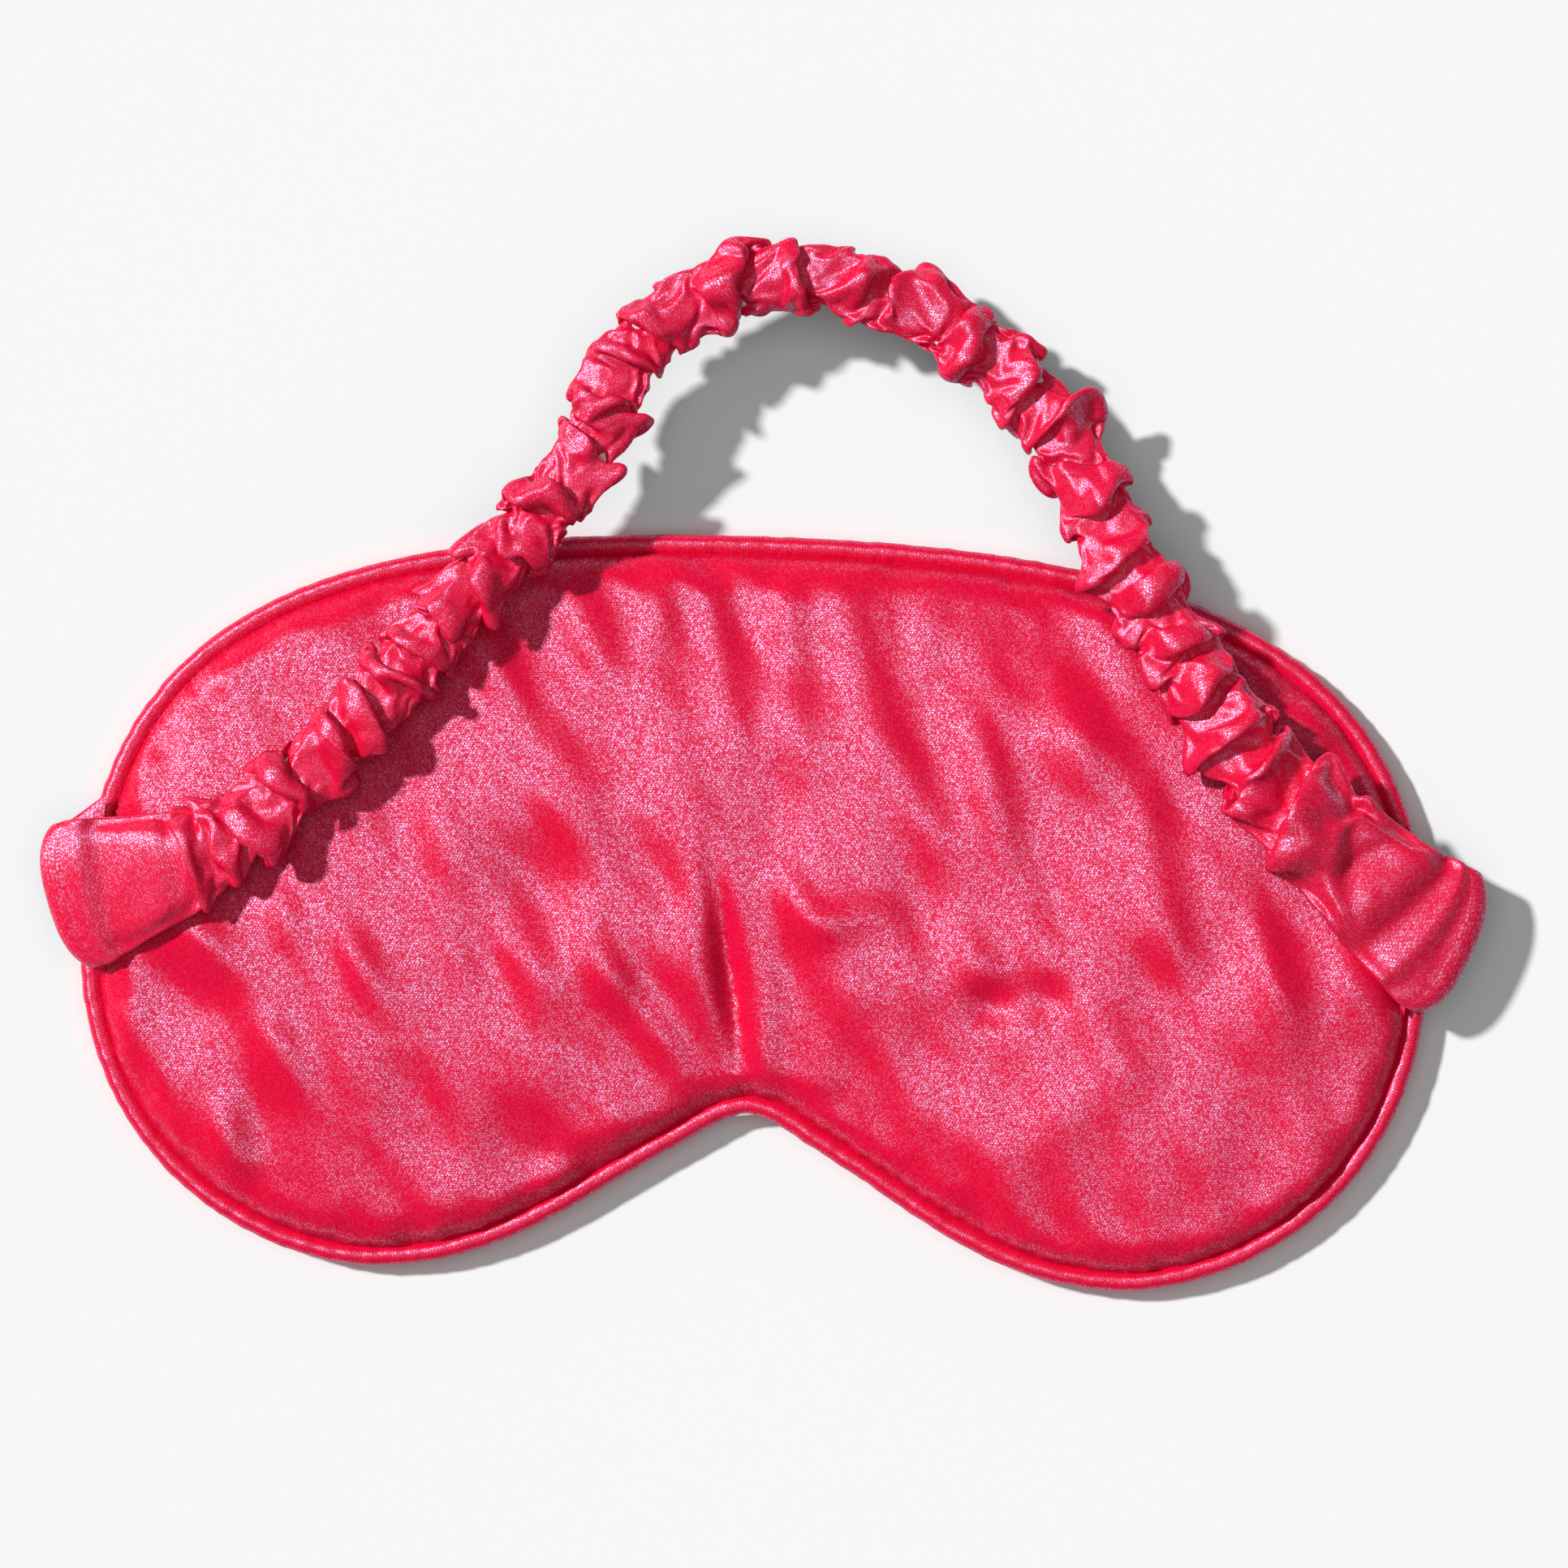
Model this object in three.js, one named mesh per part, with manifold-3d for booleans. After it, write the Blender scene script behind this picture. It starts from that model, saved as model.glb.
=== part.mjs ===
// A padded satin sleep eye mask with corded piping and a gathered elastic strap.
//
// Millimetres. The mask lies on its front face, as on a table, wearer's side up: +X along the pad's length,
// +Y to the brow edge, +Z to the wearer's face. The origin is the centre of the pad's outline, on the resting
// plane. The strap is folded back over the wearer's side and its loop passes beyond the brow.

import * as THREE from "three";
import { mergeVertices } from "three/addons/utils/BufferGeometryUtils.js";
import Module from "manifold-3d";

const wasm = await Module();
wasm.setup();

// ---------------------------------------------------------------- driving dimensions

const PAD_HALF_WIDTH = 104.9; // outline, piping included
const PAD_HALF_HEIGHT = 57.8;
const WIDEST_Y = -6.4;
const LOBE_X = 57.9; // lowest point of each eye lobe
const NOTCH_SIDE = new THREE.Vector2(13, -38.9); // where the lobe's straight flank meets the nose notch
const NOTCH_Y = -32.3;

const GAP = 0.3; // between neighbouring pieces
const CLOTH = 0.5; // satin with its backing
const SEAM_Z = 4.2; // height of the perimeter seam above the table
const FLANGE_LAYER = 0.25; // the piping's tail is two layers of satin with a slit between them
const FLANGE_SLIT = 0.3;
const FLANGE_HALF = FLANGE_LAYER + FLANGE_SLIT / 2;
const SEAM_CLOTH_Z = SEAM_Z + FLANGE_HALF + GAP; // underside of the wearer's panel at its rim
const CROWN = 5.8; // rise of the wearer's panel above its rim
const EDGE_ROLL = 9; // width over which a panel rounds up from its rim

const PIPING_RADIUS = 1.7;
const CORD_RADIUS = 1.0;
const PIPING_BORE = CORD_RADIUS + GAP;
const FLANGE_WIDTH = 6; // sewn-in tail of the piping
const RIM_INSET = 2 * PIPING_RADIUS + 1; // panel rims, inside the outline
const THREAD_INSET = 2 * PIPING_RADIUS + 0.5;
const THREAD_RADIUS = 0.2;
const LAYER_INSET = RIM_INSET + FLANGE_WIDTH; // foam, lining and wadding stop inside the flange

const FOAM = 2.7;
const LINING = 0.4;

const STRAP_SEWN_WIDTH = 29; // side seam length taken up by the strap, centred on y = 0
const SEWN_END_Z = 7.4; // middle of the strap's sewn end, above the piping
const SEWN_END_HALF_THICKNESS = 1.1;
const CREASE_Z = 10.7; // middle of the strap where it folds back over its sewn end
const ELASTIC = { halfWidth: 4, halfThickness: 0.4 };
const BORE = { halfWidth: ELASTIC.halfWidth + GAP, halfThickness: ELASTIC.halfThickness + GAP };
const CROWN_SPAN = [0.385, 0.66]; // shares of the strap's length between which it is the moving crown
const CROWN_GAP = 0.002; // share of the strap's length left open where the crown parts from a leg

// ---------------------------------------------------------------- colours

const SATIN = { color: 0xe2114e, roughness: 0.4, metalness: 0 };
const STRAP_SATIN = { color: 0xe8225c, roughness: 0.4, metalness: 0 };
const THREAD = { color: 0xb80b3c, roughness: 0.6, metalness: 0 };
const FOAM_LOOK = { color: 0xf1ead8, roughness: 0.95, metalness: 0 };
const WADDING_LOOK = { color: 0xf7f5f0, roughness: 1, metalness: 0 };
const LINING_LOOK = { color: 0x17151a, roughness: 0.9, metalness: 0 };
const CORD_LOOK = { color: 0xefe6d6, roughness: 0.9, metalness: 0 };
const ELASTIC_LOOK = { color: 0xf4f1ee, roughness: 0.8, metalness: 0 };

const mask = new THREE.Group();

function add(name, geometry, look) {
  const mesh = new THREE.Mesh(geometry, new THREE.MeshStandardMaterial(look));
  mesh.name = name;
  mask.add(mesh);
}

// ---------------------------------------------------------------- solids

function solid(geometry) {
  const bare = geometry.index ? geometry.toNonIndexed() : geometry.clone();
  bare.deleteAttribute("normal");
  bare.deleteAttribute("uv");
  const merged = mergeVertices(bare, 1e-4);
  const vertProperties = merged.attributes.position.array;
  const triVerts = new Uint32Array(merged.index.array);
  return new wasm.Manifold(new wasm.Mesh({ numProp: 3, vertProperties, triVerts }));
}

function geometryOf(manifold) {
  const { vertProperties, triVerts } = manifold.getMesh();
  return new THREE.BufferGeometry()
    .setAttribute("position", new THREE.BufferAttribute(new Float32Array(vertProperties), 3))
    .setIndex(new THREE.BufferAttribute(new Uint32Array(triVerts), 1));
}

// A slab over the whole mask between two heights, for cutting.
function slab(bottom, top) {
  const box = new THREE.BoxGeometry(400, 400, top - bottom);
  box.translate(0, 0, (bottom + top) / 2);
  return solid(box);
}

// ---------------------------------------------------------------- outline

// Right half of the outline from the brow round to the nose notch: handles and end of each curve, and the
// number of straight steps it is drawn with.
const HALF_OUTLINE = [
  { handles: [[56.6, PAD_HALF_HEIGHT], [PAD_HALF_WIDTH, 49.6]], end: [PAD_HALF_WIDTH, WIDEST_Y], steps: 15 },
  { handles: [[PAD_HALF_WIDTH, -43], [76, -PAD_HALF_HEIGHT]], end: [LOBE_X, -PAD_HALF_HEIGHT], steps: 9 },
  { handles: [[38, -PAD_HALF_HEIGHT], [24, -45]], end: NOTCH_SIDE.toArray(), steps: 6 },
  { handles: [[7.5, -35.85], [3.5, NOTCH_Y]], end: [0, NOTCH_Y], steps: 4 },
];

function outlinePoints() {
  const half = [];
  let start = new THREE.Vector2(0, PAD_HALF_HEIGHT);
  for (const { handles, end, steps } of HALF_OUTLINE) {
    const [a, b, c] = [...handles, end].map((p) => new THREE.Vector2(...p));
    half.push(...new THREE.CubicBezierCurve(start, a, b, c).getPoints(steps).slice(0, -1));
    start = c;
  }
  const mirrored = half.slice(1).map((p) => new THREE.Vector2(-p.x, p.y));
  const clockwise = [...half, new THREE.Vector2(0, NOTCH_Y), ...mirrored.reverse()];
  return clockwise.reverse();
}

const OUTLINE = outlinePoints(); // anticlockwise seen from +Z

// The outline moved inwards by a distance.
function inset(distance) {
  return OUTLINE.map((p, i) => {
    const before = OUTLINE.at(i - 1);
    const after = OUTLINE[(i + 1) % OUTLINE.length];
    const along = after.clone().sub(before).normalize();
    return new THREE.Vector2(p.x - along.y * distance, p.y + along.x * distance);
  });
}

function loopPath(distance, z) {
  const points = inset(distance).map((p) => new THREE.Vector3(p.x, p.y, z));
  return new THREE.CatmullRomCurve3(points, true);
}

function loopTube(distance, z, radius, sides) {
  return new THREE.TubeGeometry(loopPath(distance, z), OUTLINE.length, radius, sides, true);
}

function flatSheet(distance, z, thickness) {
  const sheet = new THREE.ExtrudeGeometry(new THREE.Shape(inset(distance)), {
    depth: thickness,
    bevelEnabled: false,
  });
  return sheet.translate(0, 0, z);
}

// A lens of height 2 x rise with flat top and bottom, its widest line at z and its edge rolled over EDGE_ROLL.
function lens(distance, z, rise, roll) {
  const core = 0.6;
  const bevelThickness = rise - core / 2;
  const shape = new THREE.ExtrudeGeometry(new THREE.Shape(inset(distance)), {
    depth: core,
    bevelEnabled: true,
    bevelThickness,
    bevelSize: roll,
    bevelOffset: -roll,
    bevelSegments: 3,
  });
  return solid(shape.translate(0, 0, z - core / 2));
}

function dome(distance, z, rise, roll) {
  return lens(distance, z, rise, roll).intersect(slab(z, z + 2 * rise));
}

function dish(distance, z, rise, roll) {
  return lens(distance, z, rise, roll).intersect(slab(z - 2 * rise, z));
}

// ---------------------------------------------------------------- pad

const DISH_RISE = SEAM_Z - FLANGE_HALF - GAP; // the table-side panel, from its rim down to the table
const BACK_TOP = SEAM_CLOTH_Z + CROWN;

function backPanel() {
  const outer = dome(RIM_INSET, SEAM_CLOTH_Z, CROWN, EDGE_ROLL);
  const inner = dome(RIM_INSET + CLOTH, SEAM_CLOTH_Z, CROWN - CLOTH, EDGE_ROLL);
  return geometryOf(outer.subtract(inner));
}

function frontPanel() {
  const outer = dish(RIM_INSET, DISH_RISE, DISH_RISE, EDGE_ROLL);
  const inner = dish(RIM_INSET + CLOTH, DISH_RISE, DISH_RISE - CLOTH, EDGE_ROLL);
  return geometryOf(outer.subtract(inner));
}

function foamPad() {
  const top = DISH_RISE;
  const block = dish(RIM_INSET + CLOTH + GAP, DISH_RISE, DISH_RISE - CLOTH - GAP, EDGE_ROLL);
  const withinFlange = solid(flatSheet(LAYER_INSET, 0, top));
  return geometryOf(block.intersect(withinFlange).intersect(slab(top - FOAM, top)));
}

function fibreWadding() {
  const bottom = SEAM_Z + LINING / 2 + GAP;
  const block = dome(RIM_INSET + CLOTH + GAP, SEAM_CLOTH_Z, CROWN - CLOTH - GAP, EDGE_ROLL);
  const withinFlange = solid(flatSheet(LAYER_INSET, bottom, CROWN + 1));
  return geometryOf(block.intersect(withinFlange));
}

// Satin strip wrapped round the cord, its two edges sewn together into a flat tail.
function pipingCover() {
  const tube = solid(loopTube(PIPING_RADIUS, SEAM_Z, PIPING_RADIUS, 8));
  const bore = solid(loopTube(PIPING_RADIUS, SEAM_Z, PIPING_BORE, 8));
  const tail = solid(flatSheet(2 * PIPING_RADIUS - 0.25, SEAM_Z - FLANGE_HALF, 2 * FLANGE_HALF));
  const tailHole = solid(flatSheet(LAYER_INSET - GAP, SEAM_Z - 1, 2));
  const slit = solid(flatSheet(PIPING_RADIUS, SEAM_Z - FLANGE_SLIT / 2, FLANGE_SLIT));
  return geometryOf(tube.add(tail.subtract(tailHole)).subtract(bore).subtract(slit));
}

// ---------------------------------------------------------------- strap

// Middle line of the folded-back strap, from the left crease over the brow and back to the right crease.
const STRAP_PATH = new THREE.CatmullRomCurve3(
  [
    [-104.9, -1.9, CREASE_Z],
    [-84, 6.5, 14.4],
    [-66, 22, 15.8],
    [-45, 47.5, 15.8],
    [-29, 67, 15],
    [-21, 85.5, 15],
    [0, 97, 13.5],
    [24, 92, 11.5],
    [43, 76, 11],
    [55, 54, 14.6],
    [75, 25, 15.8],
    [90, 11, 14.6],
    [106.9, -2.8, CREASE_Z],
  ].map((p) => new THREE.Vector3(...p)),
  false,
  "centripetal",
);

// Each crease runs from the lower end of the side seam up and outwards.
const LEFT_CREASE = { low: new THREE.Vector2(-101.4, -13.2), high: new THREE.Vector2(-108.9, 9.4) };
const RIGHT_CREASE = { low: new THREE.Vector2(101.8, -13.6), high: new THREE.Vector2(111.6, 9.2) };

// Half width and half thickness of the casing at stations along the strap: flat at the creases, gathered
// into a soft round cord between them.
const CASING_SHAPE = [
  [0, 11.2, 1.7],
  [0.08, 8.8, 2.6],
  [0.16, 6.4, 4],
  [0.5, 6.4, 4],
  [0.76, 7.2, 4],
  [0.88, 9.6, 3.2],
  [1, 12, 1.7],
];

function casingShape(t) {
  const i = Math.max(1, CASING_SHAPE.findIndex(([at]) => at >= t));
  const [t0, w0, h0] = CASING_SHAPE[i - 1];
  const [t1, w1, h1] = CASING_SHAPE[i];
  const share = THREE.MathUtils.smoothstep(t, t0, t1);
  return { halfWidth: w0 + (w1 - w0) * share, halfThickness: h0 + (h1 - h0) * share };
}

// Position, sideways and upward directions at share t of the strap. At its ends the strap's width lies
// along the crease.
function strapFrame(t) {
  const origin = STRAP_PATH.getPointAt(t);
  const along = STRAP_PATH.getTangentAt(t);
  const side = new THREE.Vector3(along.y, -along.x, 0).normalize();
  const crease = t < 0.5 ? LEFT_CREASE : RIGHT_CREASE;
  const creaseLine = crease.low.clone().sub(crease.high).normalize();
  const fromEnd = Math.min(t, 1 - t);
  const share = 1 - THREE.MathUtils.smoothstep(fromEnd, 0, 0.12);
  const creaseSide = new THREE.Vector3(creaseLine.x, creaseLine.y, 0);
  side.lerp(creaseSide, share).normalize();
  return { origin, side, up: new THREE.Vector3(0, 0, 1) };
}

// A closed bar whose cross-section is placed by frameAt and sized by sizeAt, for the share of its length from
// t0 to t1. The cylinder's round section becomes the bar's oval one.
function bar(frameAt, sizeAt, t0, t1, sides, steps) {
  const template = new THREE.CylinderGeometry(1, 1, 1, sides, steps);
  const position = template.attributes.position;
  for (let i = 0; i < position.count; i++) {
    const t = t0 + (t1 - t0) * (position.getY(i) + 0.5);
    const { origin, side, up } = frameAt(t);
    const { halfWidth, halfThickness } = sizeAt(t);
    const p = origin
      .clone()
      .addScaledVector(side, position.getX(i) * halfWidth)
      .addScaledVector(up, position.getZ(i) * halfThickness);
    position.setXYZ(i, p.x, p.y, p.z);
  }
  return template;
}

const CASING_SIDES = 12;
const ELASTIC_SIDES = 8;
const FOLD_CLEARANCE = 0.03; // share of the strap's length at each crease that the elastic stops short by

// A length of the satin tube, open where it parts from the next length and closed at a crease.
function casing(t0, t1, steps) {
  const outer = solid(bar(strapFrame, casingShape, t0, t1, CASING_SIDES, steps));
  const boreStart = t0 === 0 ? FOLD_CLEARANCE / 2 : t0 - CROWN_GAP;
  const boreEnd = t1 === 1 ? 1 - FOLD_CLEARANCE / 2 : t1 + CROWN_GAP;
  const bore = solid(bar(strapFrame, () => BORE, boreStart, boreEnd, ELASTIC_SIDES, steps));
  return geometryOf(outer.subtract(bore));
}

function elastic(t0, t1, steps) {
  return bar(strapFrame, () => ELASTIC, t0, t1, ELASTIC_SIDES, steps);
}

// Frames across the flat end of the strap, from the side seam (t = 0) out to the crease (t = 1). The side
// vector reaches from the middle to the edge.
function sewnEndFrame(crease, sign) {
  const seamX = sign * (PAD_HALF_WIDTH - THREAD_INSET);
  const seamLow = new THREE.Vector2(seamX, -STRAP_SEWN_WIDTH / 2);
  const seamHigh = new THREE.Vector2(seamX, STRAP_SEWN_WIDTH / 2);
  return (t) => {
    const low = seamLow.clone().lerp(crease.low, t);
    const high = seamHigh.clone().lerp(crease.high, t);
    const middle = low.clone().add(high).multiplyScalar(0.5);
    const across = low.clone().sub(high).multiplyScalar(0.5 * sign);
    return {
      origin: new THREE.Vector3(middle.x, middle.y, SEWN_END_Z),
      side: new THREE.Vector3(across.x, across.y, 0),
      up: new THREE.Vector3(0, 0, 1),
    };
  };
}

// The end of the satin tube, sewn over the piping; it is open at the seam, where the elastic enters.
function strapEnd(crease, sign) {
  const frameAt = sewnEndFrame(crease, sign);
  const outerSize = () => ({ halfWidth: 1, halfThickness: SEWN_END_HALF_THICKNESS });
  const boreSize = (t) => ({
    halfWidth: BORE.halfWidth / frameAt(t).side.length(),
    halfThickness: BORE.halfThickness,
  });
  const outer = solid(bar(frameAt, outerSize, 0, 1, CASING_SIDES, 3));
  const bore = solid(bar(frameAt, boreSize, -0.1, 0.85, ELASTIC_SIDES, 3));
  return geometryOf(outer.subtract(bore));
}

function elasticEnd(crease, sign) {
  const frameAt = sewnEndFrame(crease, sign);
  const size = (t) => ({
    halfWidth: ELASTIC.halfWidth / frameAt(t).side.length(),
    halfThickness: ELASTIC.halfThickness,
  });
  return bar(frameAt, size, 0, 0.8, ELASTIC_SIDES, 3);
}

// Close row of stitches along the side seam that holds the casing and the elastic.
function sideStitching(sign) {
  const rowZ = SEAM_CLOTH_Z + 1;
  const reach = 12;
  const path = inset(THREAD_INSET)
    .filter((p) => p.x * sign > 0 && Math.abs(p.y) < reach + 3)
    .sort((a, b) => a.y - b.y);
  const curve = new THREE.CatmullRomCurve3(path.map((p) => new THREE.Vector3(p.x, p.y, rowZ)));
  const frameAt = (t) => ({
    origin: curve.getPointAt(t),
    side: new THREE.Vector3(1, 0, 0),
    up: new THREE.Vector3(0, 0, 1),
  });
  return bar(frameAt, () => ({ halfWidth: 0.4, halfThickness: 0.2 }), 0, 1, 6, 6);
}

// ---------------------------------------------------------------- assembly

const THREAD_Z = SEAM_Z + FLANGE_HALF + GAP + THREAD_RADIUS;

add("front_satin_panel", frontPanel(), SATIN);
add("foam_pad", foamPad(), FOAM_LOOK);
add("blackout_lining", flatSheet(LAYER_INSET, SEAM_Z - LINING / 2, LINING), LINING_LOOK);
add("fibre_wadding", fibreWadding(), WADDING_LOOK);
add("back_satin_panel", backPanel(), SATIN);
add("piping_cord", loopTube(PIPING_RADIUS, SEAM_Z, CORD_RADIUS, 6), CORD_LOOK);
add("piping_cover", pipingCover(), SATIN);
add("seam_needle_thread", loopTube(THREAD_INSET, THREAD_Z, THREAD_RADIUS, 4), THREAD);
add("seam_bobbin_thread", loopTube(THREAD_INSET, 2 * SEAM_Z - THREAD_Z, THREAD_RADIUS, 4), THREAD);
add("strap_end_left", strapEnd(LEFT_CREASE, -1), STRAP_SATIN);
add("strap_end_right", strapEnd(RIGHT_CREASE, 1), STRAP_SATIN);
add("elastic_end_left", elasticEnd(LEFT_CREASE, -1), ELASTIC_LOOK);
add("elastic_end_right", elasticEnd(RIGHT_CREASE, 1), ELASTIC_LOOK);
add("side_stitching_left", sideStitching(-1), THREAD);
add("side_stitching_right", sideStitching(1), THREAD);

const [CROWN_START, CROWN_END] = CROWN_SPAN;
const LEG_STEPS = 14;
const CROWN_STEPS = 12;
add("strap_casing_left", casing(0, CROWN_START - CROWN_GAP, LEG_STEPS), STRAP_SATIN);
add("strap_casing_crown", casing(CROWN_START, CROWN_END, CROWN_STEPS), STRAP_SATIN);
add("strap_casing_right", casing(CROWN_END + CROWN_GAP, 1, LEG_STEPS), STRAP_SATIN);
add("strap_elastic_left", elastic(FOLD_CLEARANCE, CROWN_START - CROWN_GAP, LEG_STEPS), ELASTIC_LOOK);
add("strap_elastic_crown", elastic(CROWN_START, CROWN_END, CROWN_STEPS), ELASTIC_LOOK);
add("strap_elastic_right", elastic(CROWN_END + CROWN_GAP, 1 - FOLD_CLEARANCE, LEG_STEPS), ELASTIC_LOOK);

export default mask;
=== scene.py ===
"""A padded satin sleep eye mask with corded piping and a gathered strap, dressed around its CAD frame.

Metres, in the CAD frame: the mask lies on its front panel, +X along it, +Y to the brow, +Z to the wearer.
Shapes are worked out in millimetres inside the functions and turned into metres when a mesh is made.
"""

import math

import bpy
import numpy as np
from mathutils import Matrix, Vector
from mathutils.geometry import delaunay_2d_cdt


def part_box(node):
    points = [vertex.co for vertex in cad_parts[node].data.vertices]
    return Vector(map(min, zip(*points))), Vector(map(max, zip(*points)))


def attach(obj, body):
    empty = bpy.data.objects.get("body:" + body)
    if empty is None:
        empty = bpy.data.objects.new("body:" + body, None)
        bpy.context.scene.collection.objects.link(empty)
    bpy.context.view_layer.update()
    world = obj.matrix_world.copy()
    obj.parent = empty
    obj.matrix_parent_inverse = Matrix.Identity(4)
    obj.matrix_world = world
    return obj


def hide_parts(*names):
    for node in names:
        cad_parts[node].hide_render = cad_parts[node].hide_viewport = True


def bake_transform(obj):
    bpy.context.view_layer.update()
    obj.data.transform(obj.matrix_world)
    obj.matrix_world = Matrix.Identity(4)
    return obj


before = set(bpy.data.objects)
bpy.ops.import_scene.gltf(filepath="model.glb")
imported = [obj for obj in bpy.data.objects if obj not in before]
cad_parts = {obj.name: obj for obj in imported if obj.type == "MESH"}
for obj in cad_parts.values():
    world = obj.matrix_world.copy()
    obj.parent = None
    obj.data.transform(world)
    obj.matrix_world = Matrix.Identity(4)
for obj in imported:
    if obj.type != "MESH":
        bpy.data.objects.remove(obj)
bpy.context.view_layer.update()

MM = 0.001
SIM_MM = 0.01  # the cloth solver works on a model ten times life size
CLOTH_GAP = 0.3  # clearance of the simulated cloth; two layers of it keep twice that
SEED = 20


# -------- places from the frame, in millimetres

def box_mm(node):
    low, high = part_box(node)
    return np.array(low) / MM, np.array(high) / MM


PIPING_LOW, PIPING_HIGH = box_mm("piping_cover")
LINING_HIGH = box_mm("blackout_lining")[1]
PANEL_TOP = box_mm("back_satin_panel")[1][2]
SEAM_Z = (PIPING_LOW[2] + PIPING_HIGH[2]) / 2
PIPING_RADIUS = (PIPING_HIGH[2] - PIPING_LOW[2]) / 2
LINING_INSET = PIPING_HIGH[0] - LINING_HIGH[0]
SEAM_INSET = 2 * PIPING_RADIUS


def node_points(node):
    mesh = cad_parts[node].data
    co = np.empty(len(mesh.vertices) * 3)
    mesh.vertices.foreach_get("co", co)
    return np.unique(np.round(co.reshape(-1, 3) / MM, 3), axis=0)


def catmull_rom(points, steps, closed=False):
    """Points of a smooth curve through the given ones, with that many steps between neighbours."""
    if closed:
        padded = np.vstack([points[-1:], points, points[:2]])
    else:
        padded = np.vstack([2 * points[:1] - points[1:2], points, 2 * points[-1:] - points[-2:-1]])
    p0, p1, p2, p3 = (padded[i:len(padded) - 3 + i, None] for i in range(4))
    t = (np.arange(steps) / steps)[None, :, None]
    curve = 0.5 * (2 * p1 + (p2 - p0) * t + (2 * p0 - 5 * p1 + 4 * p2 - p3) * t ** 2
                   + (3 * p1 - p0 - 3 * p2 + p3) * t ** 3)
    curve = curve.reshape(-1, points.shape[1])
    return curve if closed else np.vstack([curve, points[-1:]])


def along(points, closed=False):
    """Distance of each point along its polyline, and the whole length."""
    ring = np.vstack([points, points[:1]]) if closed else points
    distance = np.concatenate([[0], np.cumsum(np.linalg.norm(np.diff(ring, axis=0), axis=1))])
    return distance


def resample(points, at, closed=False):
    ring = np.vstack([points, points[:1]]) if closed else points
    distance = along(points, closed)
    return np.stack([np.interp(at, distance, ring[:, k]) for k in range(points.shape[1])], axis=1)


def offset_loop(loop, distance):
    """A closed anticlockwise loop moved inwards (outwards when negative)."""
    tangent = np.roll(loop, -1, axis=0) - np.roll(loop, 1, axis=0)
    tangent /= np.linalg.norm(tangent, axis=1)[:, None]
    inward = np.stack([-tangent[:, 1], tangent[:, 0]], axis=1)
    return loop + inward * distance


def even_loop(loop, count):
    length = along(loop, closed=True)[-1]
    return resample(loop, np.arange(count) * length / count, closed=True)


def pad_outline(count):
    """The pad's outline with its piping, from the flat lining sheet inside it."""
    sheet = node_points("blackout_lining")
    rim = sheet[sheet[:, 2] < sheet[:, 2].mean()][:, :2]
    middle = np.array([0, 0.25 * LINING_HIGH[1]])  # every point of the rim is in plain sight from here
    rim = rim[np.argsort(np.arctan2(*(rim - middle).T[::-1]))]
    smooth = catmull_rom(rim, 8, closed=True)
    return even_loop(offset_loop(even_loop(smooth, count), -LINING_INSET), count)


def strap_route():
    """The strap's middle line from crease to crease, from the rings of the CAD elastic."""
    points = np.vstack([node_points(n) for n in
                        ("strap_elastic_left", "strap_elastic_crown", "strap_elastic_right")])
    link = 3.3  # points of one ring lie closer together than this, rings lie further apart
    gap = np.linalg.norm(points[:, None] - points[None], axis=2)
    label = np.full(len(points), -1)
    for start in range(len(points)):
        if label[start] >= 0:
            continue
        front = [start]
        while front:
            label[front] = start
            reached = (gap[front] < link).any(axis=0) & (label < 0)
            front = list(np.flatnonzero(reached))
    centres = np.array([points[label == k].mean(axis=0) for k in np.unique(label)])
    from_loop = centres[:, :2] - np.array(LOOP_MIDDLE)
    angle = np.arctan2(from_loop[:, 1], from_loop[:, 0])
    angle[angle < -math.pi / 2] += 2 * math.pi
    centres = centres[np.argsort(-angle)]
    ends = [fold_middle(CREASES["left"]), fold_middle(CREASES["right"])]
    return catmull_rom(np.vstack([ends[0], centres, ends[1]]), 10)


CREASES = {  # low and high end of the folds at which the strap turns back over its sewn ends
    "left": ((-101.4, -13.2), (-108.9, 9.4)),
    "right": ((101.8, -13.6), (111.6, 9.2)),
}
CREASE_Z = 10.7
SEWN_END_Z = 7.4
LOOP_MIDDLE = (0, 20)  # a place inside the strap's loop, from which its rings are put in order


def fold_middle(crease):
    low, high = np.array(crease)
    return np.array([*(low + high) / 2, CREASE_Z])[None]


OUTLINE = pad_outline(720)


# -------- meshes

def mesh_object(name, points_mm, faces, uv_mm=None, smooth=True):
    mesh = bpy.data.meshes.new(name)
    mesh.from_pydata((np.asarray(points_mm) * MM).tolist(), [], faces)
    mesh.update()
    if uv_mm is not None:
        layer = mesh.uv_layers.new(name="weave")
        layer.data.foreach_set("uv", np.asarray(uv_mm, np.float32).ravel())
    mesh.polygons.foreach_set("use_smooth", [smooth] * len(mesh.polygons))
    piece = bpy.data.objects.new(name, mesh)
    bpy.context.scene.collection.objects.link(piece)
    return piece


def subdivide(piece, levels=1):
    modifier = piece.modifiers.new("smooth", "SUBSURF")
    modifier.levels = levels
    modifier.render_levels = levels
    return piece


def tube_faces(rings, sides, closed=False):
    last = rings if closed else rings - 1
    faces = []
    for i in range(last):
        for j in range(sides):
            a, b = i * sides, (i + 1) % rings * sides
            k = (j + 1) % sides
            faces.append((a + j, a + k, b + k, b + j))
    return faces


def end_caps(rings, sides):
    """The two end faces of an open tube_faces tube."""
    return [tuple(range(sides - 1, -1, -1)), tuple((rings - 1) * sides + k for k in range(sides))]


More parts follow.
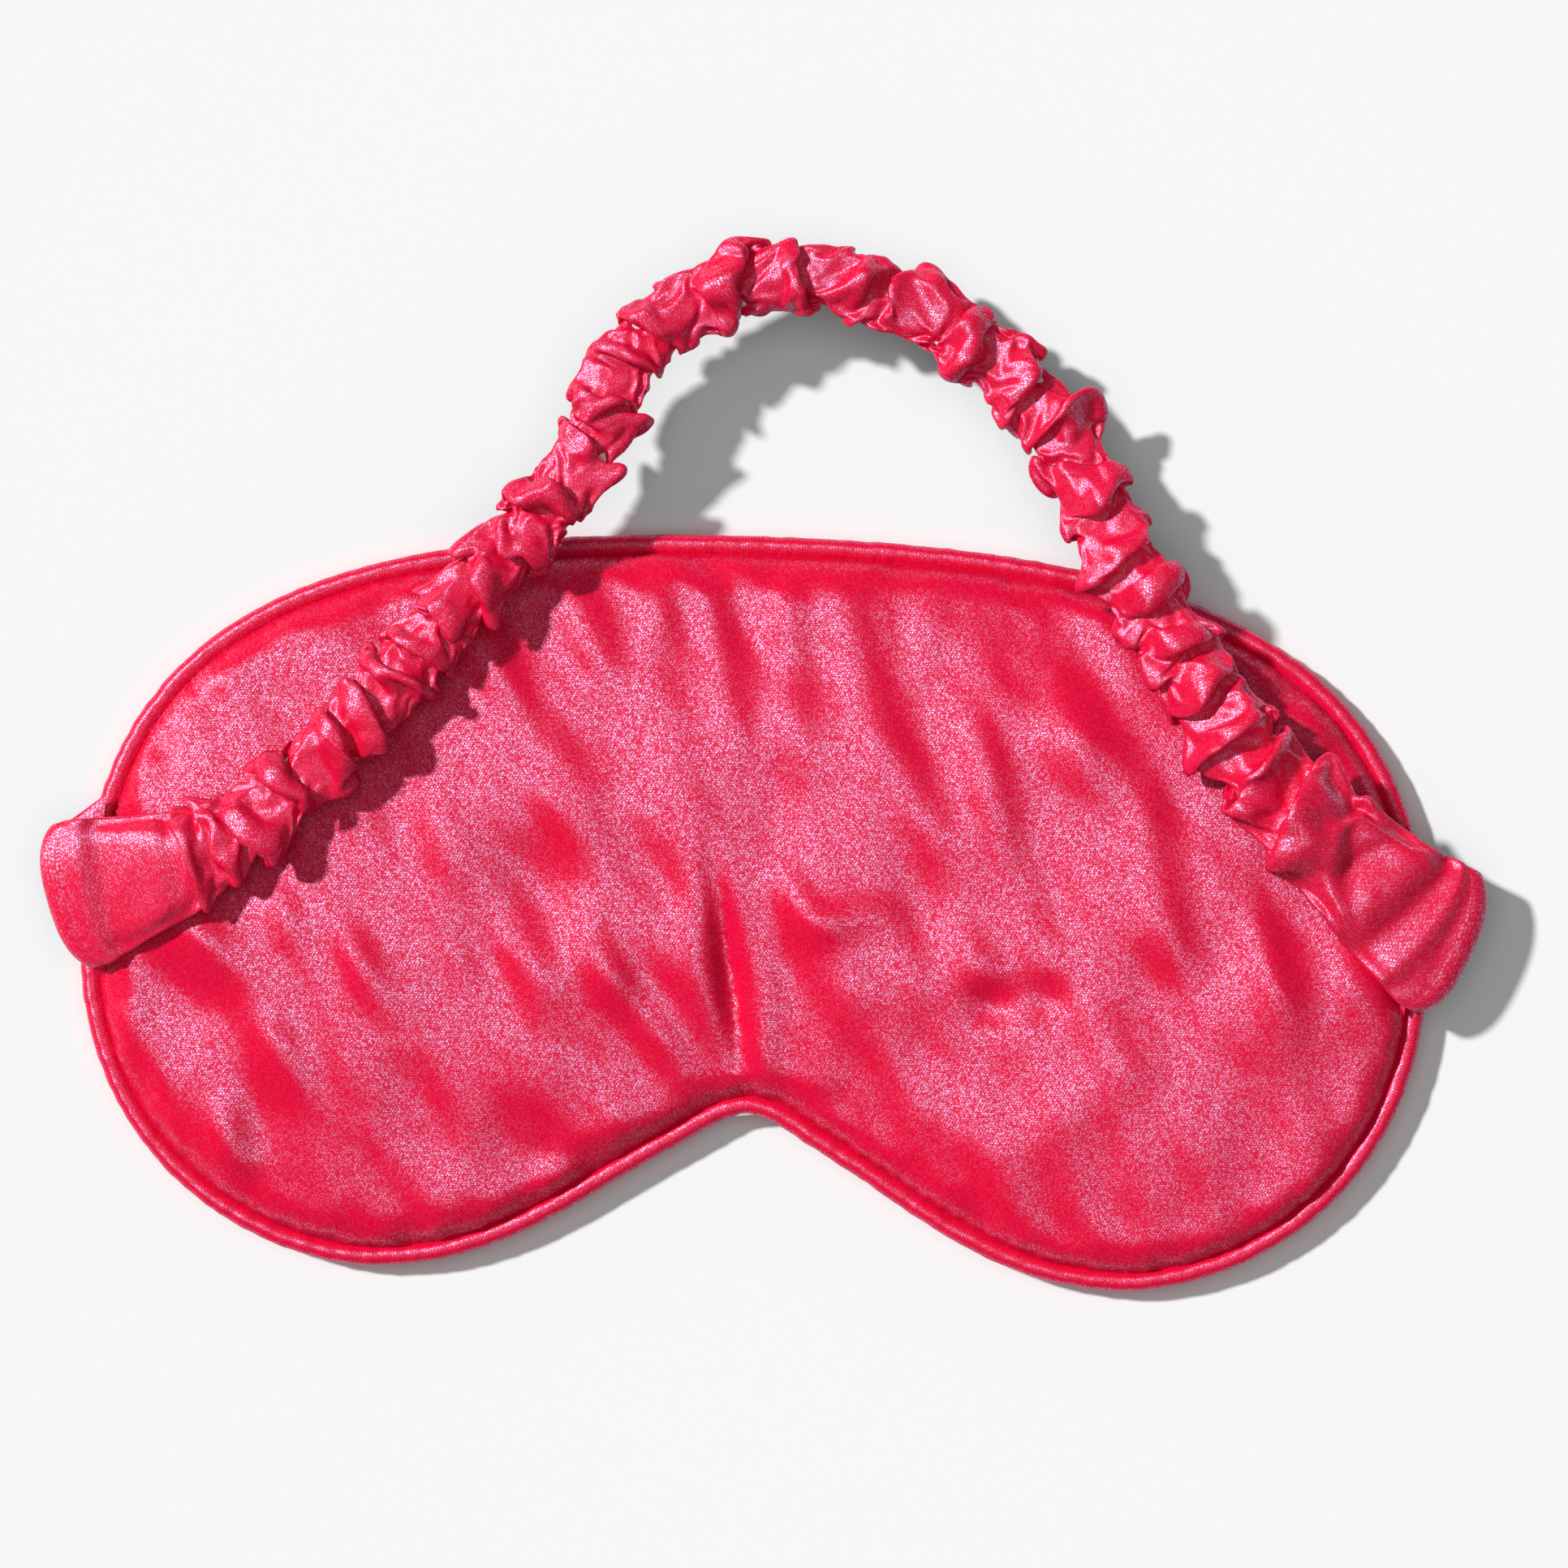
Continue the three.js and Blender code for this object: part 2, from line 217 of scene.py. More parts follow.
def tube_uv(u, v, closed=False):
    """Face-corner coordinates of tube_faces from the rings' distances u and the sides' distances v."""
    rings, sides = len(u) - (1 if closed else 0), len(v) - 1
    last = rings if closed else rings - 1
    uv = []
    for i in range(last):
        for j in range(sides):
            uv += [(u[i], v[j]), (u[i], v[j + 1]), (u[i + 1], v[j + 1]), (u[i + 1], v[j])]
    return uv


# -------- cloth

def cloth_sheet(points_mm, faces, rest_mm, pin):
    """A mesh at solver scale with its resting shape as a shape key and its held points in a vertex group."""
    mesh = bpy.data.meshes.new("cloth")
    mesh.from_pydata((points_mm * SIM_MM).tolist(), [], faces)
    cloth = bpy.data.objects.new("cloth", mesh)
    bpy.context.scene.collection.objects.link(cloth)
    cloth.shape_key_add(name="start")
    rest = cloth.shape_key_add(name="rest")
    rest.data.foreach_set("co", (rest_mm * SIM_MM).astype(np.float32).ravel())
    rest.value = 0
    group = cloth.vertex_groups.new(name="pin")
    for i in np.flatnonzero(pin > 0):
        group.add([int(i)], float(pin[i]), "REPLACE")
    return cloth, rest


def cloth_wall(points_mm, faces):
    """A solid that the cloth can't pass."""
    mesh = bpy.data.meshes.new("wall")
    mesh.from_pydata((points_mm * SIM_MM).tolist(), [], faces)
    wall = bpy.data.objects.new("wall", mesh)
    bpy.context.scene.collection.objects.link(wall)
    wall.modifiers.new("collision", "COLLISION")
    wall.collision.thickness_outer = CLOTH_GAP * SIM_MM
    wall.collision.thickness_inner = 2 * CLOTH_GAP * SIM_MM
    wall.collision.cloth_friction = 2
    return wall


def simulate(points_mm, faces, rest_mm, pin, colliders=(), *, frames, stretch, shear, bend, pressure, air,
             quality, self_collision=False):
    """The points of a cloth that starts at points_mm, wants to be rest_mm and is held by its pin weights."""
    cloth, rest = cloth_sheet(points_mm, faces, rest_mm, pin)
    walls = [cloth_wall(*collider) for collider in colliders]
    modifier = cloth.modifiers.new("cloth", "CLOTH")
    settings = modifier.settings
    settings.quality = quality
    settings.mass = 0.1
    settings.air_damping = air
    settings.tension_stiffness = stretch
    settings.compression_stiffness = stretch
    settings.shear_stiffness = shear
    settings.bending_stiffness = bend
    settings.tension_damping = 10
    settings.compression_damping = 10
    settings.shear_damping = 10
    settings.bending_damping = 1
    settings.vertex_group_mass = "pin"
    settings.pin_stiffness = 1
    settings.rest_shape_key = rest
    settings.use_pressure = True
    settings.uniform_pressure_force = pressure
    settings.effector_weights.gravity = 0
    collision = modifier.collision_settings
    collision.use_collision = bool(walls)
    collision.distance_min = CLOTH_GAP * SIM_MM
    collision.use_self_collision = self_collision
    collision.self_distance_min = 2 * CLOTH_GAP * SIM_MM
    collision.self_friction = 2
    modifier.point_cache.frame_start = 1
    modifier.point_cache.frame_end = frames
    scene = bpy.context.scene
    scene.frame_start = 1
    scene.frame_end = frames
    for number in range(1, frames + 1):
        scene.frame_set(number)
    result = cloth.evaluated_get(bpy.context.evaluated_depsgraph_get()).to_mesh()
    co = np.empty(len(result.vertices) * 3)
    result.vertices.foreach_get("co", co)
    for used in [cloth, *walls]:
        bpy.data.objects.remove(used)
    scene.frame_set(1)
    return co.reshape(-1, 3) / SIM_MM


# -------- pad

PANEL_EDGE = 1.7  # distance between the panel's points
RIM_POINTS = 340
RIM_TUCK = 0.6  # how far the panel reaches under the piping
PAD_PLATEAU = PANEL_TOP - SEAM_Z - 1.4
PAD_CROWN = 1.2  # how much higher the middle of the pad is than its shoulder
PAD_ROLL = 5.8  # width over which the pad rises from its seam
PANEL_LIFT = 0.15
PANEL_SLACK = (1.045, 1.03)  # extra cloth along the pad and across it
PANEL_HOLD = 0.12  # how much the padding keeps the cloth where it starts


def smoothstep(x, low=0.0, high=1.0):
    t = np.clip((x - low) / (high - low), 0, 1)
    return t * t * (3 - 2 * t)


def inside(points, loop):
    a, b = loop, np.roll(loop, -1, axis=0)
    x, y = points[:, :1], points[:, 1:]
    straddles = (a[:, 1] > y) != (b[:, 1] > y)
    rise = np.where(a[:, 1] == b[:, 1], 1, b[:, 1] - a[:, 1])
    crossing = a[:, 0] + (y - a[:, 1]) * (b[:, 0] - a[:, 0]) / rise
    return (straddles & (x < crossing)).sum(axis=1) % 2 == 1


def distance_to(points, loop):
    nearest = np.empty(len(points))
    for start in range(0, len(points), 500):
        part = points[start:start + 500]
        nearest[start:start + 500] = np.linalg.norm(part[:, None] - loop[None], axis=2).min(axis=1)
    return nearest


def panel_sheet():
    """Flat triangulated panel: points, faces, distance of each point from the seam."""
    rim = even_loop(offset_loop(OUTLINE, SEAM_INSET - RIM_TUCK), RIM_POINTS)
    reach = rim.max(axis=0) + PANEL_EDGE
    rows = np.arange(-reach[1], reach[1], PANEL_EDGE * math.sqrt(0.75))
    columns = np.arange(-reach[0], reach[0], PANEL_EDGE)
    grid = np.array([(x + (i % 2) * PANEL_EDGE / 2, y) for i, y in enumerate(rows) for x in columns])
    grid = grid[inside(grid, rim)]
    grid = grid[distance_to(grid, rim) > 0.6 * PANEL_EDGE]
    flat = np.vstack([rim, grid])
    ring = [(i, (i + 1) % len(rim)) for i in range(len(rim))]
    corners = [Vector(p) for p in flat]
    found = delaunay_2d_cdt(corners, ring, [], 1, 1e-6)
    flat = np.array([tuple(p) for p in found[0]])
    return flat, [tuple(f) for f in found[2]], distance_to(flat, rim)


# Soft folds of the wearer's panel: middle x and y, direction in degrees, half length, half width and height.
FOLDS = (
    # short puckers hanging from the brow seam
    (-27, 43, -70, 8, 3.4, 0.9),
    (-16, 45, -78, 5, 2.6, 0.7),
    (-7, 41, -74, 12, 3.0, 0.7),
    (4.0, 45, -84, 6, 3.0, 0.8),
    (13, 42, -60, 10, 4.6, 1.0),
    (25, 44, -70, 5, 3.0, 0.6),
    # long soft folds over the middle
    (-41, 36, -58, 11, 3.8, 1.5),
    (-12, 22, -72, 22, 4.0, 0.5),
    (8, 16, -74, 24, 4.0, 0.5),
    (20, 26, -66, 20, 4.0, 0.5),
    (-30, 16, -60, 22, 4.0, 0.5),
    (35, 22, -72, 11, 3.6, 1.2),
    (48, 27, -52, 9, 6.0, 1.6),
    (60, 15, -74, 8, 3.6, 1.1),
    # under the nose of the right lobe and beside it
    (7, 1, -60, 6, 3.0, 0.9),
    (13, -1.5, 12, 7, 3.0, 0.9),
    (37, -13.5, 0, 4.0, 3.6, -1.7),
    (46, -12, 0, 3.6, 3.2, -0.8),
    (64, -3, -74, 8, 3.4, 0.8),
    (80, -7, -72, 12, 3.6, 1.5),
    (92, -8, -70, 7, 3.0, 0.9),
    (52, -28, 38, 16, 5.0, 0.6),
    # left lobe
    (-86, -8, -38, 11, 4.6, 1.7),
    (-72, -25, -58, 9, 4.0, 1.5),
    (-80, -38, -78, 7, 3.2, 1.2),
    (-97, -17, -76, 8, 3.0, 1.2),
    (-60, -11, -64, 8, 3.0, 1.3),
    (-72, -3, -66, 6, 2.6, 0.8),
    (-34, -11, -64, 10, 4.0, 0.8),
    (-21, -12, -60, 5, 3.0, 0.8),
    (-14, -20, -58, 7, 3.2, 1.2),
    (-60, -30, -58, 16, 5.0, 0.6),
    # crease that runs down into the nose notch, with the fold beside it
    (-8.5, -6, -82, 15, 3.4, 1.1),
    (-3.6, -10, -80, 14, 1.5, -1.9),
    (2.0, -17, -86, 10, 2.6, 0.9),
)
FOLD_RISE = 1.2
FOLD_LEAN = math.radians(-66)  # the panel's small creases lie along this direction
# Random creases between the folds: height, wavelength, seed, direction and how far they stray from it.
CREASES_BETWEEN = (
    (0.19, 13, SEED, FOLD_LEAN, 0.4),
    (0.42, 26, SEED + 5, 0.0, math.pi),
    (0.05, 6, SEED + 11, FOLD_LEAN, 0.9),
)


def fold_height(flat):
    """The rise of all the folds together at each flat place."""
    height = np.zeros(len(flat))
    for x, y, direction, length, width, rise in FOLDS:
        turn = math.radians(direction)
        along_fold = (flat[:, 0] - x) * math.cos(turn) + (flat[:, 1] - y) * math.sin(turn)
        across = -(flat[:, 0] - x) * math.sin(turn) + (flat[:, 1] - y) * math.cos(turn)
        height += FOLD_RISE * rise * np.exp(-(along_fold / length) ** 2 - (across / width) ** 2)
    return height


def smooth_noise(points, wavelength, seed, waves=24, lean=0.0, spread=math.pi):
    """Plane waves of about one wavelength, added to about -1 to 1, their crests within spread of lean."""
    rng = np.random.default_rng(seed)
    total = np.zeros(len(points))
    for _ in range(waves):
        turn = lean + math.pi / 2 + rng.uniform(-spread, spread)
        phase = rng.uniform(0, 2 * math.pi)
        k = 2 * math.pi / (wavelength * rng.uniform(0.7, 1.5))
        total += np.sin(k * (points[:, 0] * math.cos(turn) + points[:, 1] * math.sin(turn)) + phase)
    return total * math.sqrt(2 / waves) * 0.7


def wearer_panel():
    """The puffed panel: points, faces, their flat places and each point's distance from the seam."""
    flat, faces, depth = panel_sheet()
    uneven = depth * (1 + 0.3 * smooth_noise(flat, 12, SEED + 9))
    roll = np.sqrt(1 - (1 - np.clip(uneven / PAD_ROLL, 0, 1)) ** 2)
    plateau = PAD_PLATEAU + PAD_CROWN * smoothstep(depth, 8, 34)
    calm = smoothstep(depth, 0, 7)
    streaks = np.zeros(len(flat))
    for rise, wavelength, seed, lean, spread in CREASES_BETWEEN:
        streaks += rise * smooth_noise(flat, wavelength, seed, lean=lean, spread=spread)
    height = SEAM_Z + PANEL_LIFT + roll * plateau + calm * (fold_height(flat) + streaks)
    start = np.column_stack([flat, height])
    rest = np.column_stack([flat * np.array(PANEL_SLACK), np.zeros(len(flat))])
    pin = np.where(depth < 0.01, 1.0, PANEL_HOLD)
    start = simulate(start, faces, rest, pin, frames=30, stretch=60, shear=20, bend=8, pressure=0.5,
                     air=3, quality=8)
    return start, faces, flat, depth


# -------- materials

def new_material(name):
    material = bpy.data.materials.new(name)
    material.use_nodes = True
    nodes = material.node_tree.nodes
    nodes.clear()
    output = nodes.new("ShaderNodeOutputMaterial")
    shader = nodes.new("ShaderNodeBsdfPrincipled")
    material.node_tree.links.new(shader.outputs[0], output.inputs[0])
    return material, shader


def feed(tree, socket, value):
    """Gives a socket a number, a vector or a colour, or links another node's output to it."""
    if isinstance(value, bpy.types.NodeSocket):
        tree.links.new(value, socket)
    elif value is not None:
        socket.default_value = (*value, 1) if socket.type == "RGBA" else value


def math_node(tree, operation, *values):
    node = tree.nodes.new("ShaderNodeMath")
    node.operation = operation
    for socket, value in zip(node.inputs, values):
        feed(tree, socket, value)
    return node.outputs[0]


def mix_colour(tree, factor, first, second):
    node = tree.nodes.new("ShaderNodeMix")
    node.data_type = "RGBA"
    feed(tree, node.inputs["Factor"], factor)
    feed(tree, node.inputs[6], first)
    feed(tree, node.inputs[7], second)
    return node.outputs[2]


def vector_node(tree, operation, a, b=None, scale=None):
    node = tree.nodes.new("ShaderNodeVectorMath")
    node.operation = operation
    feed(tree, node.inputs[0], a)
    feed(tree, node.inputs[1], b)
    if scale is not None:
        feed(tree, node.inputs["Scale"], scale)
    return node.outputs["Value"] if operation == "DOT_PRODUCT" else node.outputs["Vector"]


WEAVE_PITCH = 0.42  # millimetres between yarn floats
SPARK_PITCH = 0.2  # millimetres over which the brightness of the floats changes
YARN_TURN = 65  # degrees from +X to the panel's yarn
CRIMSON = (0.85, 0.002, 0.045)
PAINTED_GLINT = (0.90, 0.62, 1.0)  # painted sheen: the pink glint of the yarn floats seen square on, painted into the base colour, so it shows in shade as well as in light
GLEAM = (0.20, 0.53, 0.88)  # what they throw back of a lamp
GLEAM_SHARE = 0.1  # share of the lobe in the shader mix; its colour makes up for it
# painted sheen left in the base colour where the cloth leans away from the view
FAINT_PAINTED_SHEEN = 0.008
BOUNCE = (0.10, 0.07, 0.075)  # what the floor takes up of the cloth, which keeps the pale floor neutral
BOUNCE_FROM = 6  # millimetres; shorter ways are from one fold to the next


def yarn_floats(tree, yarn_turn, grain):
    """The brightness of the yarn floats (bricked rows of dots times random glints), which masks both the
    sheen painted into the base colour and the lamp-lit lobe, and a random lean that frays the painted sheen's
    edges.
    """
    link = tree.links.new
    uv = tree.nodes.new("ShaderNodeUVMap")
    uv.uv_map = "weave"
    turned = tree.nodes.new("ShaderNodeMapping")
    turned.inputs["Rotation"].default_value = (0, 0, math.radians(-yarn_turn))
    link(uv.outputs[0], turned.inputs[0])
    split = tree.nodes.new("ShaderNodeSeparateXYZ")
    link(turned.outputs[0], split.inputs[0])
    u = math_node(tree, "MULTIPLY", split.outputs[0], 1 / WEAVE_PITCH)
    v = math_node(tree, "MULTIPLY", split.outputs[1], 1 / WEAVE_PITCH)
    row = math_node(tree, "FLOOR", v)
    shifted = math_node(tree, "ADD", u, math_node(tree, "MULTIPLY", row, 0.5))
    across, down = (math_node(tree, "ABSOLUTE",
                              math_node(tree, "SINE", math_node(tree, "MULTIPLY", way, math.pi)))
                    for way in (shifted, v))
    dots = math_node(tree, "POWER", math_node(tree, "MULTIPLY", across, down), 1.4)
    woven = math_node(tree, "MULTIPLY_ADD", dots, 0.8, 0.2)

    cells = tree.nodes.new("ShaderNodeTexWhiteNoise")
    cells.noise_dimensions = "2D"
    snapped = tree.nodes.new("ShaderNodeCombineXYZ")
    for axis in range(2):
        cell = math_node(tree, "FLOOR", math_node(tree, "MULTIPLY", split.outputs[axis], 1 / SPARK_PITCH))
        link(cell, snapped.inputs[axis])
    link(snapped.outputs[0], cells.inputs["Vector"])
    rare = math_node(tree, "POWER", cells.outputs["Value"], 3.0)
    spark = math_node(tree, "MULTIPLY_ADD", rare, 3.6 * grain, 1.0 - 0.9 * grain)
    second = tree.nodes.new("ShaderNodeSeparateColor")
    link(cells.outputs["Color"], second.inputs[0])
    lean = math_node(tree, "MULTIPLY_ADD", second.outputs[1], 0.16, -0.08)
    return math_node(tree, "MULTIPLY", woven, spark), lean


def yarn_directions(tree, yarn_turn):
    """Directions on the surface along the yarn and across it."""
    normal = tree.nodes.new("ShaderNodeNewGeometry").outputs["Normal"]
    tangent = tree.nodes.new("ShaderNodeTangent")
    tangent.direction_type = "UV_MAP"
    tangent.uv_map = "weave"
    crosswise = vector_node(tree, "CROSS_PRODUCT", normal, tangent.outputs[0])
    turn = math.radians(yarn_turn)
    yarn = vector_node(tree, "ADD", vector_node(tree, "SCALE", tangent.outputs[0], scale=math.cos(turn)),
                       vector_node(tree, "SCALE", crosswise, scale=math.sin(turn)))
    return yarn, vector_node(tree, "CROSS_PRODUCT", normal, yarn)


def view_fade(tree, leans):
    """1 where the cloth lies square to the view, falling to 0 as it leans; leans are pairs (lean, reach)."""
    shares = [math_node(tree, "DIVIDE", lean, reach) for lean, reach in leans]
    squares = [math_node(tree, "POWER", math_node(tree, "ABSOLUTE", share), 2.0) for share in shares]
    return math_node(tree, "EXPONENT", math_node(tree, "MULTIPLY", math_node(tree, "ADD", *squares), -1.0))


def satin(name, yarn_turn, narrow, wide, strength, gloss, grain, lobe):
    """Crimson satin. Its yarn floats make a lattice of pink glints wherever the yarn lies square to the view,
    so the sheen dies quickly as the cloth tilts along its yarn and slowly as it tilts across. That sheen is a
    painted sheen in the base colour, of the given strength, and shows in shade too.
    The lobe (roughness, anisotropy, strength) is the part that needs a lamp, so that shadows stay deep
    crimson."""
    material, shader = new_material(name)
    tree = material.node_tree
    link = tree.links.new
    floats, jitter = yarn_floats(tree, yarn_turn, grain)
    yarn, weft = yarn_directions(tree, yarn_turn)
    view = tree.nodes.new("ShaderNodeNewGeometry").outputs["Incoming"]
    lean_along = math_node(tree, "ADD", vector_node(tree, "DOT_PRODUCT", yarn, view), jitter)
    lean_across = vector_node(tree, "DOT_PRODUCT", weft, view)
    fade = view_fade(tree, ((lean_along, narrow), (lean_across, wide)))
    # painted sheen: the view-dependent pink glint is mixed into the base colour, lit by every lamp and by the
    # room, so it shows in shade as well
    sheen = math_node(tree, "MULTIPLY_ADD", fade, strength, FAINT_PAINTED_SHEEN)
    painted_glint_share = math_node(tree, "MULTIPLY", sheen, floats)
    path = tree.nodes.new("ShaderNodeLightPath")
    far = math_node(tree, "GREATER_THAN", path.outputs["Ray Length"], BOUNCE_FROM * MM)
    bounce = math_node(tree, "MULTIPLY", path.outputs["Is Diffuse Ray"], far)
    cloth = mix_colour(tree, painted_glint_share, CRIMSON, PAINTED_GLINT)
    link(mix_colour(tree, bounce, cloth, BOUNCE), shader.inputs["Base Color"])
    shader.inputs["Roughness"].default_value = 0.32
    shader.inputs["Specular IOR Level"].default_value = gloss
    shader.inputs["Specular Tint"].default_value = (1.0, 0.6, 0.8, 1)

    roughness, anisotropy, gleam_strength = lobe
    gleam = tree.nodes.new("ShaderNodeBsdfAnisotropic")
    gleam.distribution = "BECKMANN"
    gleam.inputs["Roughness"].default_value = roughness
    gleam.inputs["Anisotropy"].default_value = anisotropy
    link(yarn, gleam.inputs["Tangent"])
    near = math_node(tree, "SUBTRACT", 1.0, bounce)
    near = math_node(tree, "MULTIPLY", near, gleam_strength / GLEAM_SHARE)
    gleam_colour = vector_node(tree, "SCALE", GLEAM, scale=math_node(tree, "MULTIPLY", floats, near))
    link(gleam_colour, gleam.inputs["Color"])
    mixed = tree.nodes.new("ShaderNodeMixShader")
    mixed.inputs[0].default_value = GLEAM_SHARE
    link(shader.outputs[0], mixed.inputs[1])
    link(gleam.outputs[0], mixed.inputs[2])
    link(mixed.outputs[0], tree.get_output_node("ALL").inputs[0])
    return material


def plain_fibre(name, colour, second, scale, roughness=0.9, depth=0.2):
    """Matt fibre, foam or thread: two colours mottled by fine noise, with the noise as relief."""
    material, shader = new_material(name)
    tree = material.node_tree
    place = tree.nodes.new("ShaderNodeTexCoord")
    noise = tree.nodes.new("ShaderNodeTexNoise")
    noise.inputs["Scale"].default_value = scale
    noise.inputs["Detail"].default_value = 6
    tree.links.new(place.outputs["Object"], noise.inputs["Vector"])
    tree.links.new(mix_colour(tree, noise.outputs[0], colour, second), shader.inputs["Base Color"])
    shader.inputs["Roughness"].default_value = roughness
    bump = tree.nodes.new("ShaderNodeBump")
    bump.inputs["Strength"].default_value = 0.6
    bump.inputs["Distance"].default_value = depth * MM
    tree.links.new(noise.outputs[0], bump.inputs["Height"])
    tree.links.new(bump.outputs[0], shader.inputs["Normal"])
    return material


# narrow, wide and strength shape the sheen painted into the base colour; lobe is the lamp-lit gleam
SATIN = satin("satin", YARN_TURN, narrow=0.17, wide=0.5, strength=0.08, gloss=0.05, grain=0.95,
              lobe=(0.505, 0.49, 0.18))
PIPING_SATIN = satin("piping_satin", 90, narrow=0.25, wide=0.9, strength=0.12, gloss=0.12, grain=0.7,
                     lobe=(0.45, 0.3, 0.24))
STRAP_SATIN = satin("strap_satin", 90, narrow=0.36, wide=0.42, strength=0.11, gloss=0.06, grain=0.8,
                    lobe=(0.5, 0.42, 0.31))
THREAD = plain_fibre("thread", (0.42, 0.004, 0.03), (0.62, 0.02, 0.07), 6000, roughness=0.6, depth=0.05)
FOAM = plain_fibre("foam", (0.86, 0.80, 0.66), (0.74, 0.68, 0.54), 1500)
LINING = plain_fibre("lining", (0.012, 0.010, 0.013), (0.03, 0.027, 0.03), 4000, depth=0.1)
WADDING = plain_fibre("wadding", (0.92, 0.90, 0.86), (0.80, 0.78, 0.74), 900, roughness=1.0, depth=0.4)
CORD = plain_fibre("cord", (0.84, 0.78, 0.66), (0.70, 0.62, 0.50), 2500)
ELASTIC = plain_fibre("elastic", (0.88, 0.86, 0.84), (0.72, 0.70, 0.68), 3000, roughness=0.8, depth=0.1)


# -------- pieces on the mask

def dress(piece, node, material, body=None):
    """Lets a piece stand for a CAD node, in its own material: hides the node and hangs the piece on a body if
    one is given.
    """
    piece.data.materials.append(material)
    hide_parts(node)
    if body:
        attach(piece, body)
    return piece


WADDING_GAP = 1.1  # below the wearer's panel
WADDING_LIFT = 0.3  # above the lining
WADDING_LEAST = 0.4  # thickness
TABLE_GAP = 0.25


def panel_pieces():
    """The wearer's panel, the outer panel as its flatter mirror image, and the filling."""
    points, faces, flat, depth = wearer_panel()
    corner_uv = [flat[i] for f in faces for i in f]
    back = subdivide(mesh_object("back_satin", points, faces, corner_uv))
    dress(back, "back_satin_panel", SATIN, "mask")

    thin = (SEAM_Z - 0.9) / (PANEL_TOP - SEAM_Z)
    front_points = points * [-1, 1, -thin]
    front_points[:, 2] += SEAM_Z * (1 + thin) - 0.5
    resting = TABLE_GAP + TABLE_GAP * np.tanh(front_points[:, 2] - TABLE_GAP)
    front_points[:, 2] = np.maximum(front_points[:, 2], resting)
    front = subdivide(mesh_object("front_satin", front_points, faces, corner_uv))
    dress(front, "front_satin_panel", SATIN, "mask")
    wadding_block(points, faces, depth)


def wadding_block(points, faces, depth):
    """The fibre filling: follows the wearer's panel from below and is flat on the lining."""
    inner = [f for f in faces if depth[list(f)].min() > LINING_INSET - SEAM_INSET]
    used = np.unique(np.array(inner))
    number = {v: i for i, v in enumerate(used)}
    count = len(used)
    bottom_z = LINING_HIGH[2] + WADDING_LIFT
    top = points[used] - [0, 0, WADDING_GAP]
    top[:, 2] = np.maximum(top[:, 2], bottom_z + WADDING_LEAST)
    bottom = top.copy()
    bottom[:, 2] = bottom_z
    upper = [tuple(number[v] for v in f) for f in inner]
    lower = [tuple(v + count for v in f[::-1]) for f in upper]
    edges = {(f[k], f[(k + 1) % 3]) for f in upper for k in range(3)}
    wall = [(b, a, a + count, b + count) for a, b in edges if (b, a) not in edges]
    piece = mesh_object("wadding", np.vstack([top, bottom]), upper + lower + sorted(wall))
    dress(piece, "fibre_wadding", WADDING, "mask")


PIPING_SIDES = 14
PIPING_WRINKLE = 0.07  # height of its small wrinkles
PIPING_PINCH = 0.12  # how far the satin lies inside the CAD's round piping, so that wrinkles fit


def piping():
    """The satin round the cord, wrinkled a little across its run."""
    loop = offset_loop(OUTLINE, PIPING_RADIUS)
    tangent = np.roll(loop, -1, axis=0) - np.roll(loop, 1, axis=0)
    tangent /= np.linalg.norm(tangent, axis=1)[:, None]
    inward = np.stack([-tangent[:, 1], tangent[:, 0], np.zeros(len(loop))], axis=1)
    sides = PIPING_SIDES
    turn = np.arange(sides) * 2 * math.pi / sides
    distance = along(loop, closed=True)
    u = distance[:-1, None]
    grid = np.stack(np.broadcast_arrays(u, turn[None] * PIPING_RADIUS), axis=-1).reshape(-1, 2)
    wrinkle = PIPING_WRINKLE * smooth_noise(grid * [1, 0.45], 2.6, SEED + 1).reshape(len(loop), sides)
    radius = PIPING_RADIUS - PIPING_PINCH + wrinkle
    centre = np.column_stack([loop, np.full(len(loop), SEAM_Z)])
    points = (centre[:, None] + radius[..., None] * (np.cos(turn)[None, :, None] * inward[:, None]
              - np.sin(turn)[None, :, None] * np.array([0, 0, 1.0])))
    uv = tube_uv(distance, np.arange(sides + 1) * 2 * math.pi * PIPING_RADIUS / sides, closed=True)
    piece = subdivide(mesh_object("piping", points.reshape(-1, 3), tube_faces(len(loop), sides, True), uv))
    dress(piece, "piping_cover", PIPING_SATIN, "mask")


# -------- strap

STRAP_EDGE = 1.35  # distance between the casing's rings, along its cloth
STRAP_SIDES = 32
TUBE_ROUND = 41.0  # cloth length round the casing
CORE = (4.3, 0.9)  # half width and half thickness of the elastic with the room it needs
CORE_SIDES = 12
DRIFT_REACH = 20.0  # length over which the folds' own drift is averaged away
LAY_PITCH = 12.0  # distance between changes in the folds' lean
FOLD_SIZE = 0.85  # share of a fold's full swing that is drawn
FOLD_ROOM = 1.8  # how far the middle of a fold stands out from the valleys
UNDERSIDE_SHARE = 0.72  # the folds underneath are flatter, because the strap lies on them
SEWN_REACH = 14.5  # half of the side seam's length that the strap's end takes up

